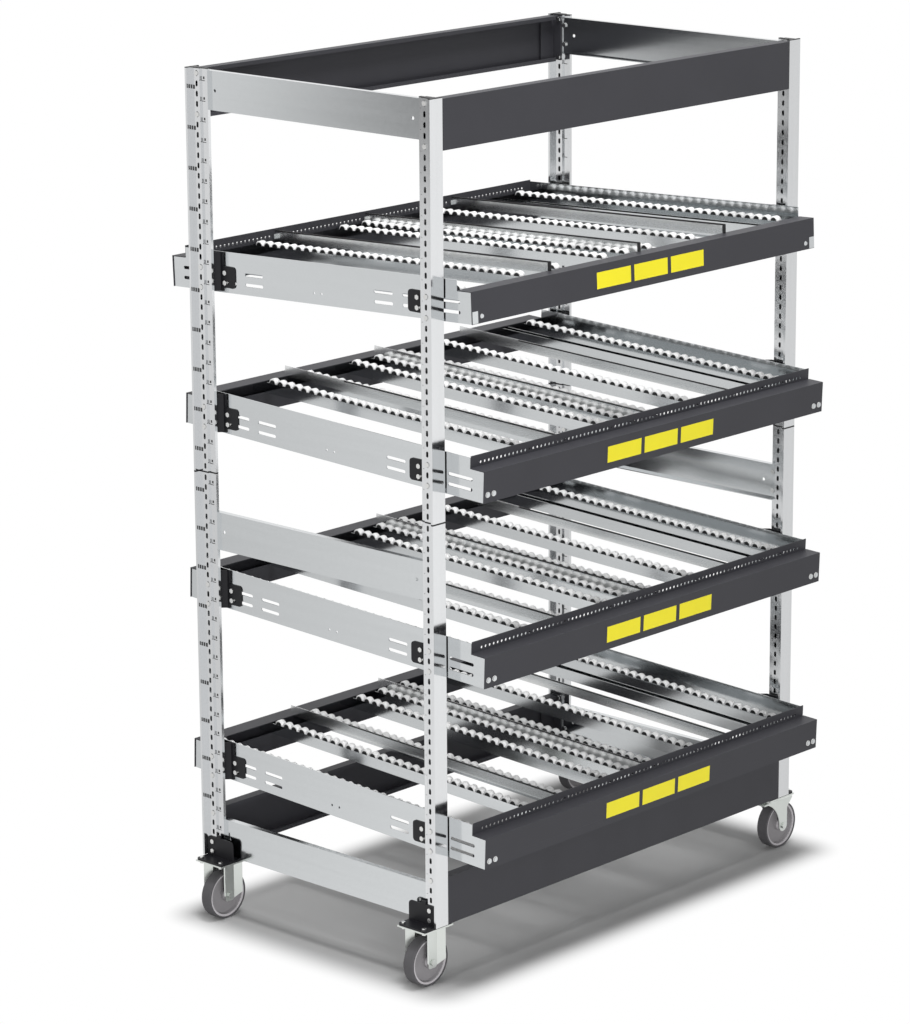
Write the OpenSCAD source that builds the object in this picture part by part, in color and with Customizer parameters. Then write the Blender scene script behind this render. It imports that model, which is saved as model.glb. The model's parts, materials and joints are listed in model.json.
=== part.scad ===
// Mobile tilting shelf rack: slotted posts on casters, four roller shelves, each hung on bolted brackets.
// Millimetres, +X right, +Y back, +Z up. The origin is on the floor, under the middle of the whole rack.

/* [Frame] */
// Width over the outer faces of the posts
rack_w = 1364; // [1300:1:1500]
// Depth over the outer faces of the posts
rack_d = 812; // [780:1:880]
// Length of one post section, two of which make a post
section_h = 1000; // [970:5:1040]
// Height of the post's foot above the floor
foot_z = 160; // [158:1:166]
// Height of the front and rear beams
beam_h = 120; // [100:1:120]
// Depth of the front and rear beams
beam_d = 28; // [24:1:30]
// Height of the side braces
brace_h = 96; // [80:1:98]

/* [Posts] */
// Width of the plain outward face
face_w = 43; // [42:0.5:46]
// Depth of a front post from face to tip
post_d = 50; // [48:0.5:54]
// Width of the slotted web
web_w = 18; // [16:0.5:20]
// Width of the tip
tip_w = 8; // [7:0.5:9]
// Wall of the folded post
post_wall = 2; // [1.5:0.1:2.2]
// Pitch of the slots
slot_pitch = 25; // [25:1:28]
// Width of a slot
slot_w = 7; // [5:0.5:7]
// Height of a slot
slot_h = 14.5; // [12:0.5:17]

/* [Shelves] */
// Height of the pivot bolts of the top shelf, which slopes to the back
shelf1_z = 1690; // [1650:5:1720]
// Height of the pivot bolts of the second shelf, which slopes to the front
shelf2_z = 1310; // [1290:5:1340]
// Height of the pivot bolts of the third shelf
shelf3_z = 860; // [820:5:870]
// Height of the pivot bolts of the bottom shelf
shelf4_z = 410; // [405:5:440]
// Height of a shelf's side plate
plate_h = 101; // [98:1:108]
// How far a shelf reaches past the posts, front and back together
overhang = 190; // [170:1:220]
// How many slots lower the low end is bolted
tilt_steps = 1; // [0:1:1]

/* [Roller tracks] */
// Distance between dividers, rounded to whole holes of the upstand
lane_w = 325; // [300:1:330]
// Distance between rollers in a track
roller_pitch = 28; // [27:0.5:36]
// Diameter of a roller
roller_dia = 26; // [24:0.5:26.5]
// Distance between holes in the upstand
hole_pitch = 14.15; // [12:0.05:18]

/* [Casters] */
// Diameter of a wheel
wheel_dia = 125; // [115:1:125]
// Width of a tread
wheel_w = 32; // [28:1:34]
// Distance from the swivel axis to the wheel's axle
trail = 35; // [30:1:38]

/* [Hidden] */
$fn = 48;

// Colours
zinc = "#c9cdd3";
charcoal = "#48484d";
black = "#1d1d20";
roller_white = "#eeeeee";
hub_grey = "#b9b2b8";
tread_grey = "#4a4a4e";

// Sheet thicknesses and clearances
sheet = 2;
bracket_t = 2.5;
slide_gap = 0.3;
seat_gap = 0.1;

// Post profile, seen from above, with its face at y = 0
flange_d = 6;
web_d = 32;
slot_y = 28;
slot_first = 12;
slot_end = 12;
slot_count = floor((section_h - slot_first - slot_end) / slot_pitch) + 1;
splice_t = 4;
splice_reach = 60;
cap_t = 2;
cap_reach = 6;
lower_top = foot_z + section_h;
upper_top = lower_top + splice_t + section_h;
post_x = rack_w / 2;
post_y = rack_d / 2;
web_in_x = post_x - (face_w + web_w) / 2;
web_out_x = post_x - (face_w - web_w) / 2;
tip_in_x = post_x - (face_w + tip_w) / 2;
slot_row_y = post_y - slot_y;
// The tips of the rear posts are longer
rear_extra = 10.5;

function depth_of(sy) = sy > 0 ? post_d + rear_extra : post_d;

// Beams and braces
beam_gap = 1;
beam_l = rack_w - 2 * face_w - 2 * beam_gap;
beam_lip = 10;
top_beam_drop = 2;
top_beam_z = upper_top - beam_h - top_beam_drop;
bottom_beam_z = foot_z + beam_gap;
angle_t = 2.5;
angle_leg = 38;
angle_depth = 28;
angle_margin = 2;
angle_bolt_edge = 9;
// Half the distance between an end angle's bolts: as many whole slots as its height lets them be apart
angle_reach = floor((beam_h / 2 - angle_bolt_edge) / slot_pitch) * slot_pitch;
angle_gap = 0.2;
brace_flange = 15;
brace_gap = 1;
brace_l = 2 * (post_y - flange_d - web_d - brace_gap);
brace_foot = 3;
brace_mid_drop = 99;
brace_top_drop = 4;
brace_z = [foot_z + brace_foot, lower_top - brace_h - brace_mid_drop, upper_top - brace_h - brace_top_drop];
brace_bolt_inset = 5.5;
brace_bolt_y = post_y - post_d + brace_bolt_inset;
brace_bolt_rise = 25;
brace_hole_inset = 77;
brace_hole_y = post_y - brace_hole_inset;
brace_hole_r = 4.25;

// Fasteners
bolt_r = 3.3;
bolt_hole_r = bolt_r + slide_gap;
bolt_head_r = 6.5;
bolt_head_h = 4.5;
stud_r = slot_w / 2 - 2 * seat_gap;
stud_depth = 7;
stud_nut_r = 6;
stud_nut_h = 2;
nut_grip = slide_gap + stud_nut_h / 2;
brace_bolt_r = 3;
beam_bolt_inset = [11.4, 32.3];
beam_bolt_z = 19.5;
beam_bolt_r = 2.5;
beam_bolt_head_r = 6.2;
beam_bolt_head_h = 2.5;

// Shelf placing. A shelf is drawn with its pivot bolts at y = 0, its low end at +y
// and the foot of its plates at z = 0.
shelf_z = [shelf1_z, shelf2_z, shelf3_z, shelf4_z];
shelf_side = [-1, 1, 1, 1];
shelf_d = rack_d + overhang;
shelf_inset = 46;
shelf_x = post_x - shelf_inset;
pivot_inset = 83;
pivot_y = post_y - pivot_inset;
pivot_row = 50;
lower_row = 25;
shelf_shift = [10, 27, 27, 27];
drop = tilt_steps * slot_pitch;
tilt = atan(drop / (2 * pivot_y));

function high_end(n) = pivot_y - shelf_d / 2 + shelf_shift[n];
function low_end(n) = high_end(n) + shelf_d;
function plate_mid(n) = high_end(n) + shelf_d / 2;

// Side plates and shelf beams
end_step = 45;
end_h = 75;
face_h = end_h + sheet;
plate_flange = 15;
plate_slot_h = 8;
// Ends of each slot, counted outwards from the mean place of the bolts
plate_slots = [[-136, -74], [-43, 43], [64, 142]];
plate_hole_r = 3;
plate_hole_y = 12.5;
plate_hole_z = 27;
beam_over = 2;
rail_seat = 47;
upstand_top = 105;
upstand_hole_r = 3.5;
upstand_hole_z = 86;
upstand_half = shelf_x - 1;
upstand_margin = 26;
upstand_holes = 2 * floor((upstand_half - upstand_margin) / hole_pitch);

// Roller tracks and dividers
rail_w = 23;
rail_wall = 1.5;
roller_w = 17;
roller_z = 73;
axle_r = 1.5;
axle_half = rail_w / 2 - rail_wall - seat_gap;
rail_h = roller_z + axle_r - rail_seat;
roller_count = floor((shelf_d - 2 * end_step - roller_pitch) / roller_pitch) + 1;
divider_t = 1.5;
divider_foot = 73;
divider_start = 31;
lane_x = round(lane_w / hole_pitch) * hole_pitch;
divider_x = [-lane_x, 0, lane_x];
// Roller tracks, set off from the side plates, the dividers and the middle of the shelf
track_x = [
    -shelf_x + 32, -lane_x - 72, -lane_x + 52, -101, -19, 65, lane_x - 95, shelf_x - 66
];
bare_rail_x = shelf_x - 150;
clip_w = 22;
clip_d = 6;
clip_h = 12;
pin_r = 3;

// Shelf brackets, drawn for the front left corner with the upper bolt at y = 0, z = 0
bracket_stud_z = 15.5;
bracket_top = 50;
bracket_foot = bracket_stud_z - 2.5 * slot_pitch;
tab_top = 16;
tab_foot = -37;
tab_reach = 32;
tab_r = 9;
strip_y = -10;
jog_from = -30;
jog_to = -17;
bracket_back = -71;
plate_gap = 0.4;
bracket_in = shelf_x + plate_gap;
bracket_web = web_in_x - slide_gap;
arc_half = 7;

// Casters
caster_inset = [18.5, 53];
caster_x = post_x - caster_inset[0];
caster_y = post_y - caster_inset[1];
caster_plate = [100, 92];
base_t = 5;
caster_plate_t = 4;
base_z = foot_z - base_t;
plate_z = base_z - caster_plate_t;
corner_plate_h = 50;
corner_plate_t = 3;
corner_r = 10;
lug = [4, 14, 8];
lug_y = 14;
axle_z = wheel_dia / 2;
wheel_axle_r = 5;
axle_nut_r = 8.5;
leg_t = 3;
leg_gap = 4.5;
leg_y = wheel_w / 2 + leg_gap;
leg_r = 16;
wing_w = 23;
wing_rise = 16;
wing_foot = axle_z + wing_rise;
leg_drop = 15;
leg_chamfer = 6;
leg_foot = axle_z - leg_drop;
tread_t = 5;
tread_edge = 2.4;
rim_t = 5;
hub_r = wheel_dia / 2 - tread_t;
hub_bore_r = wheel_axle_r + slide_gap;
boss_r = 14;
boss_gap = 1.5;
boss_w = leg_y - boss_gap;
caster_bolt = [41, 34];
caster_bolt_r = 4;
caster_bolt_head_r = 5.5;
race_r = 27;
race_h = 11;
race_z = plate_z - race_h;
lower_race_t = 2.7;
crown_t = 4;
crown_top = race_z - slide_gap - lower_race_t;
kingpin_r = 6;
kingpin_head_r = 10;
kingpin_head_h = 6;
crown_back = -46;
crown_front = 72;
crown_flare = 22;
sweep_extra = 10;
sweep_r = trail - leg_r - crown_back + sweep_extra;

// Middle of the rack's bounding box, seen from above
mid_x = trail / 2;
face_lift = face_h - pivot_row;
front_y = pivot_y - (low_end(1) + sheet) * cos(tilt) - face_lift * sin(tilt);
back_y = -pivot_y + (low_end(0) + sheet) * cos(tilt) + face_lift * sin(tilt);
mid_y = (front_y + back_y) / 2;

// Height of the upper (s = 1) or lower (s = -1) bolt at the end of a brace with its foot at z
function brace_bolt_z(z, s) = z + brace_h / 2 + s * brace_bolt_rise;

// Height of the slot nearest to z on the post section at that height
function section_top(z) = z < lower_top ? lower_top : upper_top;
function slot_near(z) = section_top(z) - slot_first
    - round((section_top(z) - slot_first - z) / slot_pitch) * slot_pitch;

// Outline of a C-shaped channel with lips, open at +x
function channel(d, h, t, lip) = [
    [0, 0], [d, 0], [d, lip], [d - t, lip], [d - t, t], [t, t],
    [t, h - t], [d - t, h - t], [d - t, h - lip], [d, h - lip], [d, h], [0, h]
];

// Outline of a plain channel, open at +x
function tray(d, h, t) = [[0, 0], [d, 0], [d, t], [t, t], [t, h - t], [d, h - t], [d, h], [0, h]];

module placed() {
    translate([-mid_x, -mid_y, 0]) children();
}

// Puts a piece drawn for the front left corner at the corner with the signs sx and sy
module corner(sx, sy) {
    mirror([sx > 0 ? 1 : 0, 0, 0]) mirror([0, sy > 0 ? 1 : 0, 0]) children();
}

module all_corners() {
    for (sx = [-1, 1])
        for (sy = [-1, 1])
            corner(sx, sy) children();
}

// Extrudes an outline drawn in y and z along x, from x0 to x1
module along_x(x0, x1) {
    translate([x0, 0, 0]) rotate([90, 0, 90]) linear_extrude(x1 - x0) children();
}

// Extrudes an outline drawn in x and z along y, from y0 to y1
module along_y(y0, y1) {
    translate([0, y1, 0]) rotate([90, 0, 0]) linear_extrude(y1 - y0) children();
}

module slot_2d(w, h) {
    square([w, h - w], center = true);
    for (s = [-1, 1])
        translate([0, s * (h - w) / 2]) circle(d = w);
}

// A hex headed bolt along +x: its head lies before x = 0 and its shank after
module bolt(head_r, head_h, shank_r, shank_l) {
    translate([-head_h, 0, 0]) rotate([0, 90, 0]) cylinder(r = head_r, h = head_h, $fn = 6);
    translate([-head_h / 2, 0, 0]) rotate([0, 90, 0]) cylinder(r = shank_r, h = shank_l + head_h / 2);
}

// Posts
module post_outline(inset, depth) {
    translate([-post_x + inset, -post_y + inset]) square([face_w - 2 * inset, flange_d - 2 * inset]);
    translate([-web_out_x + inset, -post_y + inset])
        square([web_w - 2 * inset, flange_d + web_d - 2 * inset]);
    translate([-tip_in_x - tip_w + inset, -post_y + inset])
        square([tip_w - 2 * inset, depth - 2 * inset]);
}

module post_section(z, depth) {
    difference() {
        translate([0, 0, z]) linear_extrude(section_h) difference() {
            post_outline(0, depth);
            post_outline(post_wall, depth);
        }
        along_x(-web_out_x - 1, -web_in_x + 1)
            for (k = [0 : slot_count - 1])
                translate([-slot_row_y, z + section_h - slot_first - k * slot_pitch])
                    slot_2d(slot_w, slot_h);
        for (bz = brace_z)
            for (s = [-1, 1])
                translate([-tip_in_x - tip_w / 2, -brace_bolt_y, brace_bolt_z(bz, s)])
                    rotate([0, 90, 0]) cylinder(r = brace_bolt_r + seat_gap, h = tip_w);
    }
}

module post(sx, sy) {
    color(zinc) placed() corner(sx, sy) {
        post_section(foot_z, depth_of(sy));
        post_section(lower_top + splice_t, depth_of(sy));
    }
}

module post_splice(depth) {
    translate([0, 0, lower_top]) linear_extrude(splice_t) post_outline(0, depth);
    translate([0, 0, lower_top - splice_reach])
        linear_extrude(2 * splice_reach + splice_t) post_outline(post_wall + seat_gap, depth);
}

module post_splices() {
    color(black) placed() for (sx = [-1, 1])
        for (sy = [-1, 1])
            corner(sx, sy) post_splice(depth_of(sy));
}

module post_cap(depth) {
    translate([0, 0, upper_top]) linear_extrude(cap_t) post_outline(0, depth);
    translate([0, 0, upper_top - cap_reach])
        linear_extrude(cap_reach + cap_t) post_outline(post_wall + seat_gap, depth);
}

module post_caps() {
    color(black) placed() for (sx = [-1, 1])
        for (sy = [-1, 1])
            corner(sx, sy) post_cap(depth_of(sy));
}

// Heights of the two bolts that hold a beam's end angle
function angle_slots(z) = [for (s = [-1, 1]) slot_near(z + beam_h / 2 + s * angle_reach)];
function under_corner_plate(sz) = sz < foot_z + corner_plate_h;

// Front and rear beams, with an angle at each end that is bolted to the post's web
module frame_beam(sy, z) {
    color(charcoal) placed() mirror([0, sy > 0 ? 1 : 0, 0]) {
        translate([0, -post_y, z]) along_x(-beam_l / 2, beam_l / 2)
            polygon(channel(beam_d, beam_h, sheet, beam_lip));
        for (sx = [-1, 1])
            corner(sx, -1) {
                translate([-web_in_x, -post_y + flange_d + angle_gap, z + sheet / 2])
                    cube([angle_leg + web_in_x - beam_l / 2, angle_t, beam_h - sheet]);
                difference() {
                    translate([-web_in_x, -post_y + flange_d + angle_gap, z + angle_margin])
                        cube([angle_t, angle_depth, beam_h - 2 * angle_margin]);
                    for (sz = angle_slots(z))
                        translate([-web_in_x - 1, -slot_row_y, sz])
                            rotate([0, 90, 0]) cylinder(r = stud_r + seat_gap, h = angle_t + 2);
                }
            }
    }
}

module side_braces() {
    color(zinc) placed() for (sx = [-1, 1])
        corner(sx, -1)
            for (z = brace_z)
                difference() {
                    translate([-tip_in_x, 0, z]) along_y(-brace_l / 2, brace_l / 2)
                        polygon(tray(brace_flange, brace_h, sheet));
                    for (s = [-1, 1]) {
                        translate([-tip_in_x - 1, s * brace_hole_y, z + brace_h / 2])
                            rotate([0, 90, 0]) cylinder(r = brace_hole_r, h = sheet + 2);
                        for (r = [-1, 1])
                            translate([-tip_in_x - 1, s * brace_bolt_y, brace_bolt_z(z, r)])
                                rotate([0, 90, 0]) cylinder(r = brace_bolt_r + seat_gap, h = sheet + 2);
                    }
                }
}

// A plate about the origin with four round corners
module rounded_plate_2d(size, r) {
    square([size[0] - 2 * r, size[1]], center = true);
    square([size[0], size[1] - 2 * r], center = true);
    for (sx = [-1, 1])
        for (sy = [-1, 1])
            translate([sx * (size[0] / 2 - r), sy * (size[1] / 2 - r)]) circle(r = r);
}

// An upright plate with two round corners at the top
module rounded_top_2d(w, h, r) {
    translate([-w / 2, 0]) square([w, h - r]);
    translate([-w / 2 + r, 0]) square([w - 2 * r, h]);
    for (s = [-1, 1])
        translate([s * (w / 2 - r), h - r]) circle(r = r);
}

// Corner brackets that carry the posts on the casters
module corner_bracket() {
    difference() {
        union() {
            translate([-caster_x, -caster_y, base_z])
                linear_extrude(base_t) rounded_plate_2d(caster_plate, corner_r);
            translate([0, -caster_y, base_z]) along_x(-web_out_x - corner_plate_t, -web_out_x)
                rounded_top_2d(caster_plate[1], base_t + corner_plate_h, corner_r);
            translate([-web_out_x - lug[0], -slot_row_y + lug_y, foot_z + corner_plate_h - 1])
                cube([lug[0], lug[1], lug[2] + 1]);
        }
        for (k = [0, 1])
            translate([-web_out_x - corner_plate_t - 1, -slot_row_y, corner_slot(k)])
                rotate([0, 90, 0]) cylinder(r = stud_r + seat_gap, h = corner_plate_t + 2);
        caster_bolt_places() translate([0, 0, base_z - 1])
            cylinder(r = caster_bolt_r + seat_gap, h = base_t + 2);
    }
}

function corner_slot(k) = lower_top - slot_first - (slot_count - 1 - k) * slot_pitch;

module caster_bolt_places() {
    for (sx = [-1, 1])
        for (sy = [-1, 1])
            translate([-caster_x + sx * caster_bolt[0], -caster_y + sy * caster_bolt[1], 0]) children();
}

module corner_brackets() {
    color(black) placed() all_corners() corner_bracket();
}

// A bolt from the beam's end angle into the post's web
module beam_bolt(sz, reach) {
    translate([-web_in_x + angle_t, -slot_row_y, sz])
        mirror([1, 0, 0]) bolt(bolt_head_r, bolt_head_h, stud_r, angle_t + reach);
}

// Round nut at height sz on the outer face of the post's web
module web_nut(sz) {
    translate([-web_out_x - slide_gap - stud_nut_h, -slot_row_y, sz])
        rotate([0, 90, 0]) cylinder(r = stud_nut_r, h = stud_nut_h);
}

// Bolts of the frame: corner brackets, casters, beams, braces and the studs of the pivot brackets
module frame_bolts() {
    color(zinc) placed() {
        all_corners() {
            for (k = [0, 1])
                translate([-web_out_x - corner_plate_t, -slot_row_y, corner_slot(k)])
                    bolt(bolt_head_r, bolt_head_h, stud_r, corner_plate_t + stud_depth);
            caster_bolt_places() {
                translate([0, 0, plate_z - bolt_head_h])
                    cylinder(r = caster_bolt_head_r, h = bolt_head_h, $fn = 6);
                translate([0, 0, plate_z - bolt_head_h])
                    cylinder(r = caster_bolt_r, h = foot_z - plate_z + bolt_head_h);
            }
            for (s = [-1, 1])
                translate([-caster_x - caster_bolt[0], -caster_y + s * caster_bolt[1], foot_z])
                    cylinder(r = caster_bolt_head_r, h = bolt_head_h, $fn = 6);
            for (z = [bottom_beam_z, top_beam_z])
                for (sz = angle_slots(z))
                    beam_bolt(sz, under_corner_plate(sz) ? stud_depth : web_w + nut_grip);
            for (z = [bottom_beam_z, top_beam_z])
                for (sz = angle_slots(z))
                    if (!under_corner_plate(sz))
                        web_nut(sz);
            for (z = brace_z)
                for (r = [-1, 1])
                    translate([-tip_in_x + sheet, -brace_bolt_y, brace_bolt_z(z, r)])
                        mirror([1, 0, 0]) bolt(bolt_head_r, bolt_head_h, brace_bolt_r, sheet + tip_w / 2);
        }
        for (n = [0 : 3])
            for (sx = [-1, 1])
                corner(sx, shelf_side[n]) {
                    bracket_studs(shelf_z[n], slide_gap + web_w + nut_grip);
                    stud_nuts(shelf_z[n]);
                }
    }
}

// Shelf brackets
module bracket_2d() {
    difference() {
        union() {
            translate([bracket_back, bracket_foot])
                square([strip_y - bracket_back, bracket_top - bracket_foot]);
            translate([strip_y - tab_r, tab_foot]) square([tab_reach - strip_y, tab_top - tab_foot]);
            translate([strip_y - tab_r, tab_foot + tab_r])
                square([tab_reach - strip_y + tab_r, tab_top - tab_foot - 2 * tab_r]);
            for (z = [tab_foot + tab_r, tab_top - tab_r])
                translate([tab_reach - tab_r, z]) circle(r = tab_r);
        }
        circle(r = bolt_hole_r);
        translate([0, -lower_row]) rotate(90) slot_2d(2 * bolt_hole_r, 2 * (bolt_hole_r + arc_half));
    }
}

module bracket_path() {
    polygon([
        [-bracket_web, bracket_back - 1], [-bracket_web, jog_from], [-bracket_in - bracket_t, jog_to],
        [-bracket_in - bracket_t, tab_reach + 1], [-bracket_in, tab_reach + 1], [-bracket_in, jog_to],
        [-bracket_web + bracket_t, jog_from], [-bracket_web + bracket_t, bracket_back - 1]
    ]);
}

// One bracket with its upper shelf bolt at height z, drawn for the front left corner
module bracket(z) {
    difference() {
        translate([0, -pivot_y, z]) intersection() {
            translate([0, 0, bracket_foot]) linear_extrude(bracket_top - bracket_foot) bracket_path();
            along_x(-web_in_x - 1, -bracket_in + 1) bracket_2d();
        }
        for (sz = stud_heights(z))
            translate([-bracket_web - 1, -slot_row_y, sz])
                rotate([0, 90, 0]) cylinder(r = stud_r + seat_gap, h = bracket_t + 2);
    }
}

function stud_heights(z) = [slot_near(z + bracket_stud_z), slot_near(z + bracket_stud_z) - 2 * slot_pitch];

// The two screws that hold a bracket to the post, reaching past its outer face
module bracket_studs(z, reach) {
    for (sz = stud_heights(z))
        translate([-bracket_web + bracket_t, -slot_row_y, sz])
            mirror([1, 0, 0]) bolt(bolt_head_r, bolt_head_h, stud_r, bracket_t + reach);
}

// Round nuts of a bracket's screws
module stud_nuts(z) {
    for (sz = stud_heights(z))
        web_nut(sz);
}

// The two bolts and nuts that hold a shelf plate to a bracket
module shelf_bolts(z) {
    for (bz = [z, z - lower_row])
        translate([-bracket_in - bracket_t, -pivot_y, bz]) {
            bolt(bolt_head_r, bolt_head_h, bolt_r, bracket_t + sheet + 2 * bolt_head_h);
            translate([bracket_t + plate_gap + sheet + slide_gap, 0, 0])
                rotate([0, 90, 0]) cylinder(r = bolt_head_r, h = bolt_head_h, $fn = 6);
        }
}

module pivot_brackets() {
    color(black) placed() for (n = [0 : 3])
        for (sx = [-1, 1])
            corner(sx, shelf_side[n]) bracket(shelf_z[n]);
}

module pivot_bolts() {
    color(zinc) placed() for (n = [0 : 3])
        for (sx = [-1, 1])
            corner(sx, shelf_side[n]) shelf_bolts(shelf_z[n]);
}

module low_brackets(n) {
    color(black) placed() for (sx = [-1, 1])
        corner(sx, -shelf_side[n]) bracket(shelf_z[n] - drop);
}

module clamp_bolts(n) {
    color(zinc) placed() for (sx = [-1, 1])
        corner(sx, -shelf_side[n]) {
            shelf_bolts(shelf_z[n] - drop);
            bracket_studs(shelf_z[n] - drop, -seat_gap);
            stud_nuts(shelf_z[n] - drop);
        }
}

// Shelves
module at_shelf(n) {
    placed() translate([0, shelf_side[n] * pivot_y, shelf_z[n]]) rotate([shelf_side[n] * tilt, 0, 0])
        mirror([0, shelf_side[n] > 0 ? 1 : 0, 0]) translate([0, 0, -pivot_row]) children();
}

module plate_2d(n) {
    difference() {
        union() {
            translate([high_end(n), 0]) square([shelf_d, end_h]);
            translate([high_end(n) + end_step, 0]) square([shelf_d - 2 * end_step, plate_h]);
        }
        for (s = [-1, 1]) {
            for (r = plate_slots)
                for (z = [lower_row, pivot_row])
                    translate([plate_mid(n) + s * (pivot_y + (r[0] + r[1]) / 2), z])
                        rotate(90) slot_2d(plate_slot_h, r[1] - r[0]);
            translate([plate_mid(n) + s * plate_hole_y, plate_hole_z]) circle(r = plate_hole_r);
        }
    }
}

// Both side plates, and the screws that hold the low beam to them
module shelf_side_plates(n) {
    color(zinc) at_shelf(n) {
        for (sx = [-1, 1])
            corner(sx, -1) {
                along_x(-shelf_x, -shelf_x + sheet) plate_2d(n);
                translate([-shelf_x, high_end(n) + end_step, 0])
                    cube([plate_flange, shelf_d - 2 * end_step, sheet]);
                for (inset = beam_bolt_inset)
                    translate([-shelf_x + inset, low_end(n) + sheet, beam_bolt_z]) rotate([0, 0, -90])
                        bolt(beam_bolt_head_r, beam_bolt_head_h, beam_bolt_r, sheet);
            }
    }
}

// Closed sides and foot that both shelf beams share, open inwards, with the lip that carries the rails
module beam_tray(face_y, inward) {
    mirror([0, inward > 0 ? 0 : 1, 0]) translate([0, inward * face_y, 0]) {
        along_x(-shelf_x - beam_over, shelf_x + beam_over) {
            translate([-sheet, 0]) square([sheet, face_h]);
            translate([-sheet, end_h]) square([end_step, sheet]);
        }
        along_x(-shelf_x + sheet, shelf_x - sheet) {
            translate([-sheet, 0]) square([end_step, sheet]);
            translate([end_step - 2 * sheet, 0]) square([sheet, rail_seat]);
        }
    }
}

module low_beam(n) {
    color(charcoal) at_shelf(n) difference() {
        union() {
            beam_tray(low_end(n), -1);
            translate([-upstand_half, low_end(n) - end_step, end_h])
                cube([2 * upstand_half, sheet, upstand_top - end_h]);
        }
        along_y(low_end(n) - end_step - 1, low_end(n) - end_step + sheet + 1)
            for (k = [0 : upstand_holes - 1])
                translate([(k - (upstand_holes - 1) / 2) * hole_pitch, upstand_hole_z])
                    circle(r = upstand_hole_r);
        for (sx = [-1, 1])
            for (inset = beam_bolt_inset)
                translate([sx * (shelf_x - inset), low_end(n) + sheet + 1, beam_bolt_z])
                    rotate([90, 0, 0]) cylinder(r = beam_bolt_r + seat_gap, h = sheet + 2);
    }
}

module high_beam(n) {
    color(charcoal) at_shelf(n) beam_tray(high_end(n), 1);
}

function roller_y(n, i) = plate_mid(n) + (i - (roller_count - 1) / 2) * roller_pitch;

module rail(n) {
    along_y(high_end(n) + seat_gap, low_end(n) - seat_gap)
        translate([-rail_w / 2, rail_seat]) {
            square([rail_w, rail_wall]);
            square([rail_wall, rail_h]);
            translate([rail_w - rail_wall, 0]) square([rail_wall, rail_h]);
        }
}

// The rails of the tracks, and one rail that carries no rollers
module shelf_rails(n) {
    color(zinc) at_shelf(n) {
        for (x = track_x)
            translate([x, 0, 0]) rail(n);
        translate([bare_rail_x, 0, 0]) rail(n);
    }
}

// A roller and its axle, which fits between the walls of the rail
module roller() {
    rotate([0, 90, 0]) rotate_extrude() polygon([
        [0, -axle_half], [axle_r, -axle_half], [axle_r, -roller_w / 2], [roller_dia / 2, -roller_w / 2],
        [roller_dia / 2, roller_w / 2], [axle_r, roller_w / 2], [axle_r, axle_half], [0, axle_half]
    ]);
}

module shelf_rollers(n) {
    color(roller_white) at_shelf(n) for (x = track_x)
        for (i = [0 : roller_count - 1])
            translate([x, roller_y(n, i), roller_z]) roller();
}

// A divider stands on the high beam and plugs into two holes of the upstand
module divider(n) {
    start = high_end(n) + divider_start;
    stop = low_end(n) - end_step - seat_gap;
    along_x(-divider_t / 2, divider_t / 2) {
        translate([start, face_h]) square([stop - start, plate_h - face_h]);
        translate([high_end(n) + end_step, divider_foot])
            square([stop - high_end(n) - end_step, plate_h - divider_foot]);
    }
    translate([-clip_w / 2, stop - clip_d, upstand_hole_z - clip_h / 2]) cube([clip_w, clip_d, clip_h]);
    for (s = [-1, 1])
        translate([s * hole_pitch / 2, stop - 1, upstand_hole_z])
            rotate([-90, 0, 0]) cylinder(r = pin_r, h = sheet + 2);
}

module shelf_dividers(n) {
    color(zinc) at_shelf(n) for (x = divider_x)
        translate([x, 0, 0]) divider(n);
}

// Casters
module caster_top_plate() {
    difference() {
        translate([-caster_plate[0] / 2, -caster_plate[1] / 2, plate_z])
            cube([caster_plate[0], caster_plate[1], caster_plate_t]);
        for (sx = [-1, 1])
            for (sy = [-1, 1])
                translate([sx * caster_bolt[0], sy * caster_bolt[1], plate_z - 1])
                    cylinder(r = caster_bolt_r + seat_gap, h = caster_plate_t + 2);
    }
}

// Section of a fixed fork's leg seen from above: a flat strip with a wing bent outwards on each side
module bent_leg_2d() {
    reach = wing_w * cos(45);
    inner = leg_r - leg_t * tan(22.5);
    skin = leg_t * cos(45);
    polygon([
        [-leg_r - reach, leg_y + reach], [-leg_r, leg_y], [leg_r, leg_y], [leg_r + reach, leg_y + reach],
        [leg_r + reach - skin, leg_y + reach + skin], [inner, leg_y + leg_t],
        [-inner, leg_y + leg_t], [-leg_r - reach + skin, leg_y + reach + skin]
    ]);
}

module fixed_leg_2d() {
    polygon([
        [-leg_r - wing_w, plate_z + 1], [leg_r + wing_w, plate_z + 1], [leg_r + wing_w, wing_foot],
        [leg_r, leg_foot + leg_chamfer], [leg_r - leg_chamfer, leg_foot], [leg_chamfer - leg_r, leg_foot],
        [-leg_r, leg_foot + leg_chamfer], [-leg_r - wing_w, wing_foot]
    ]);
}

module axle_bore() {
    translate([0, -leg_y - leg_t - 1, axle_z]) rotate([-90, 0, 0])
        cylinder(r = wheel_axle_r + seat_gap, h = 2 * (leg_y + leg_t + 1));
}

// Axle bolt with its head and nut outside the fork's legs
module axle_bolt() {
    reach = leg_y + leg_t + seat_gap;
    translate([0, -reach - bolt_head_h, axle_z])
        rotate([-90, 0, 0]) cylinder(r = wheel_axle_r, h = 2 * (reach + bolt_head_h));
    for (y = [-reach - bolt_head_h, reach])
        translate([0, y, axle_z]) rotate([-90, 0, 0]) cylinder(r = axle_nut_r, h = bolt_head_h, $fn = 6);
}

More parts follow.
